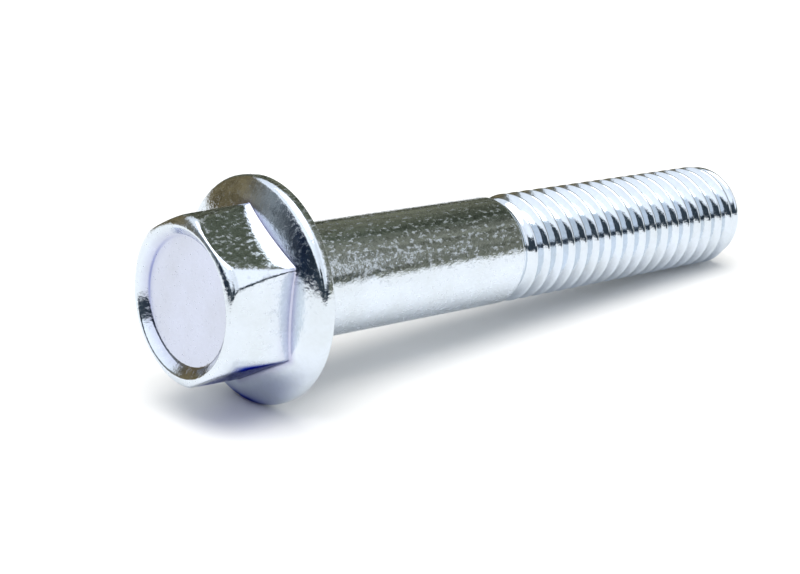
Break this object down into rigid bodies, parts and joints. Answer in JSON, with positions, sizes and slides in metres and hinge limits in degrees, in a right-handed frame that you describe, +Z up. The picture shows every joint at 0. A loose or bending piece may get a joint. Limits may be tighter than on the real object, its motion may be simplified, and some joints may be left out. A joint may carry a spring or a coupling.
{
  "type": "hexagon flange screw",
  "caption": "Hexagon flange screw with a dished head, a plain shank and a rolled right-hand thread, for clamping parts to a tapped hole or a nut.",
  "frame": {"origin": "The middle of the footprint, on the floor the screw lies on.", "axes": "+X runs from the head to the point, above the floor; +Z is up. The screw lies on the rim of its flange and on the last crest of its thread, so its own axis dips towards the point."},
  "size_m": [0.0404, 0.0116, 0.0116],
  "materials": {
    "zinc_plated_steel": "bright zinc plating with a faint blue cast over cold headed steel"
  },
  "bodies": {
    "root": {"flange_screw": "zinc_plated_steel"}
  },
  "joints": []
}
